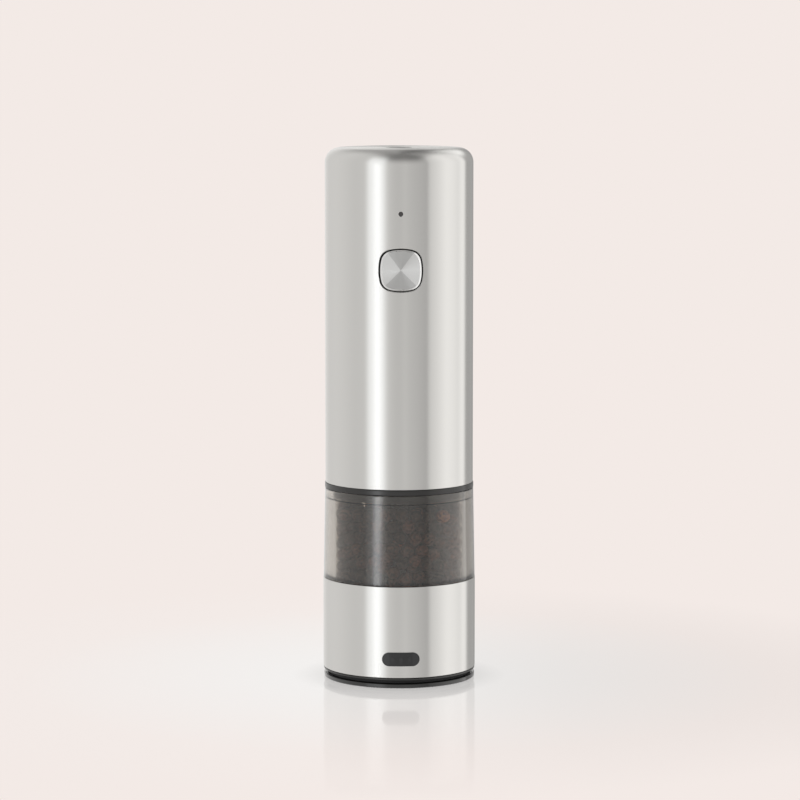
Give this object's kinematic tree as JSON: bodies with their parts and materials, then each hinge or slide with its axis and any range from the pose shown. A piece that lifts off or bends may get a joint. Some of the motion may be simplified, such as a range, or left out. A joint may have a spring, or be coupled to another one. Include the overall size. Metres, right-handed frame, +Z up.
{
  "type": "rechargeable pepper mill",
  "caption": "Slim brushed-steel rechargeable pepper mill with a push button, smoked pepper container, conical burrs and planetary gear motor.",
  "frame": {"origin": "centre of the flat underside, on the surface the mill stands on", "axes": "+Z up along the mill's axis, -Y towards the push button, +X to the right of someone facing the button"},
  "size_m": [0.052, 0.0522, 0.1812],
  "materials": {
    "shell_steel": "circumferential satin brushing",
    "sleeve_steel": "circumferential satin brushing",
    "button_metal": "radially spun face, bright chamfer",
    "trim_black": "moulded, semi-gloss",
    "badge_dark": "satin dark enamel",
    "smoked_clear": "clear smoked acrylic",
    "frame_plastic": "fine spark texture",
    "core_plastic": "moulded, satin",
    "burr_ceramic": "unglazed, ground teeth",
    "hard_steel": "drawn bar",
    "screw_steel": "zinc plated",
    "seal_rubber": "soft matt silicone",
    "gear_plastic": "natural acetal",
    "bush_brass": "turned",
    "motor_steel": "zinc plated",
    "magnet_ferrite": "dark ferrite",
    "lamination": "stacked laminations",
    "lead_red": "wire insulation",
    "cell_wrap": "shrink sleeve",
    "board_green": "solder mask",
    "chip_black": "moulded package",
    "light_pipe": "smoked clear rod",
    "port_steel": "plated receptacle"
  },
  "bodies": {
    "grinder_unit": {"base_ring": "trim_black", "lower_sleeve": "sleeve_steel", "badge_plate": "badge_dark", "grinder_housing": "core_plastic", "outer_burr": "burr_ceramic", "burr_retainer": "core_plastic", "retainer_screws": "screw_steel", "container": "smoked_clear"},
    "drive_unit": {"plug_base": "core_plastic", "plug_seal": "seal_rubber", "plug_screws": "screw_steel", "shell_collar": "trim_black", "outer_shell": "shell_steel", "chassis_front": "frame_plastic", "chassis_rear": "frame_plastic", "chassis_screws": "screw_steel", "gearbox_housing": "frame_plastic", "output_bush": "bush_brass", "gearbox_screws": "screw_steel", "motor_plate": "hard_steel", "motor_screws": "screw_steel", "motor_can": "motor_steel", "motor_magnets": "magnet_ferrite", "motor_end_cap": "frame_plastic", "motor_terminals": "bush_brass", "motor_leads": "lead_red", "battery_cell": "cell_wrap", "battery_contacts": "port_steel", "main_board": "board_green", "board_components": "chip_black", "tact_switch": "chip_black", "status_led": "gear_plastic", "led_light_pipe": "light_pipe", "charge_board": "board_green", "port_shell": "port_steel", "port_tongue": "chip_black", "port_gasket": "seal_rubber"},
    "spindle": {"inner_burr": "burr_ceramic", "drive_shaft": "hard_steel", "feed_agitator": "core_plastic", "shaft_clip": "hard_steel"},
    "thrust_screw": {"thrust_screw": "hard_steel"},
    "grind_adjuster": {"adjuster_knob": "trim_black"},
    "aroma_cap": {"aroma_cap": "trim_black"},
    "power_button": {"button_cap": "button_metal", "button_stem": "frame_plastic", "button_spring": "screw_steel"},
    "switch_plunger": {"switch_plunger": "trim_black"},
    "motor_rotor": {"motor_shaft": "hard_steel", "armature": "lamination", "first_sun_gear": "bush_brass"},
    "first_carrier": {"first_carrier": "gear_plastic"},
    "output_carrier": {"output_carrier": "gear_plastic"},
    "first_planet_1": {"first_planet_1": "gear_plastic"},
    "first_planet_2": {"first_planet_2": "gear_plastic"},
    "first_planet_3": {"first_planet_3": "gear_plastic"},
    "second_planet_1": {"second_planet_1": "gear_plastic"},
    "second_planet_2": {"second_planet_2": "gear_plastic"},
    "second_planet_3": {"second_planet_3": "gear_plastic"}
  },
  "joints": [
    {"name": "drive_unit_lift", "type": "slide", "parent": "grinder_unit", "child": "drive_unit", "axis": [0, 0, 1], "range_m": [0, 0.06]},
    {"name": "aroma_cap_pull", "type": "slide", "parent": "grinder_unit", "child": "aroma_cap", "axis": [0, 0, -1], "range_m": [0, 0.04]},
    {"name": "grind_adjuster_turn", "type": "hinge", "parent": "grinder_unit", "child": "grind_adjuster", "pos_m": [0, 0, 0.0055], "axis": [0, 0, 1], "range_deg": [-135, 135]},
    {"name": "thrust_screw_slide", "type": "slide", "parent": "grinder_unit", "child": "thrust_screw", "axis": [0, 0, 1], "range_m": [-0.000375, 0.000375]},
    {"name": "spindle_spin", "type": "hinge", "parent": "thrust_screw", "child": "spindle", "pos_m": [0, 0, 0.04], "axis": [0, 0, 1], "continuous": true},
    {"name": "power_button_press", "type": "slide", "parent": "drive_unit", "child": "power_button", "axis": [0, 1, 0], "range_m": [0, 0.0006], "stiffness_N_per_m": 900, "springref_m": -0.001, "deforming": ["button_spring"]},
    {"name": "switch_plunger_press", "type": "slide", "parent": "drive_unit", "child": "switch_plunger", "axis": [0, 1, 0], "range_m": [0, 0.0006]},
    {"name": "output_spin", "type": "hinge", "parent": "drive_unit", "child": "output_carrier", "pos_m": [0, 0, 0.0705], "axis": [0, 0, 1], "continuous": true},
    {"name": "first_carrier_spin", "type": "hinge", "parent": "drive_unit", "child": "first_carrier", "pos_m": [0, 0, 0.0773], "axis": [0, 0, 1], "continuous": true},
    {"name": "motor_spin", "type": "hinge", "parent": "drive_unit", "child": "motor_rotor", "pos_m": [0, 0, 0.1], "axis": [0, 0, 1], "continuous": true},
    {"name": "first_planet_1_spin", "type": "hinge", "parent": "first_carrier", "child": "first_planet_1", "pos_m": [0.0075, 0, 0.0801], "axis": [0, 0, 1], "continuous": true},
    {"name": "first_planet_2_spin", "type": "hinge", "parent": "first_carrier", "child": "first_planet_2", "pos_m": [-0.00375, 0.0065, 0.0801], "axis": [0, 0, 1], "continuous": true},
    {"name": "first_planet_3_spin", "type": "hinge", "parent": "first_carrier", "child": "first_planet_3", "pos_m": [-0.00375, -0.0065, 0.0801], "axis": [0, 0, 1], "continuous": true},
    {"name": "second_planet_1_spin", "type": "hinge", "parent": "output_carrier", "child": "second_planet_1", "pos_m": [0.0075, 0, 0.0738], "axis": [0, 0, 1], "continuous": true},
    {"name": "second_planet_2_spin", "type": "hinge", "parent": "output_carrier", "child": "second_planet_2", "pos_m": [-0.00375, 0.0065, 0.0738], "axis": [0, 0, 1], "continuous": true},
    {"name": "second_planet_3_spin", "type": "hinge", "parent": "output_carrier", "child": "second_planet_3", "pos_m": [-0.00375, -0.0065, 0.0738], "axis": [0, 0, 1], "continuous": true}
  ],
  "couplings": [
    {"joint": "grind_adjuster_turn", "follows": "thrust_screw_slide", "rad_per_m": 6283.2},
    {"joint": "switch_plunger_press", "follows": "power_button_press", "ratio": 1},
    {"joint": "spindle_spin", "follows": "motor_spin", "ratio": 0.04},
    {"joint": "output_spin", "follows": "motor_spin", "ratio": 0.04},
    {"joint": "first_carrier_spin", "follows": "motor_spin", "ratio": 0.2},
    {"joint": "first_planet_1_spin", "follows": "motor_spin", "ratio": -0.53333},
    {"joint": "first_planet_2_spin", "follows": "motor_spin", "ratio": -0.53333},
    {"joint": "first_planet_3_spin", "follows": "motor_spin", "ratio": -0.53333},
    {"joint": "second_planet_1_spin", "follows": "motor_spin", "ratio": -0.10667},
    {"joint": "second_planet_2_spin", "follows": "motor_spin", "ratio": -0.10667},
    {"joint": "second_planet_3_spin", "follows": "motor_spin", "ratio": -0.10667}
  ]
}
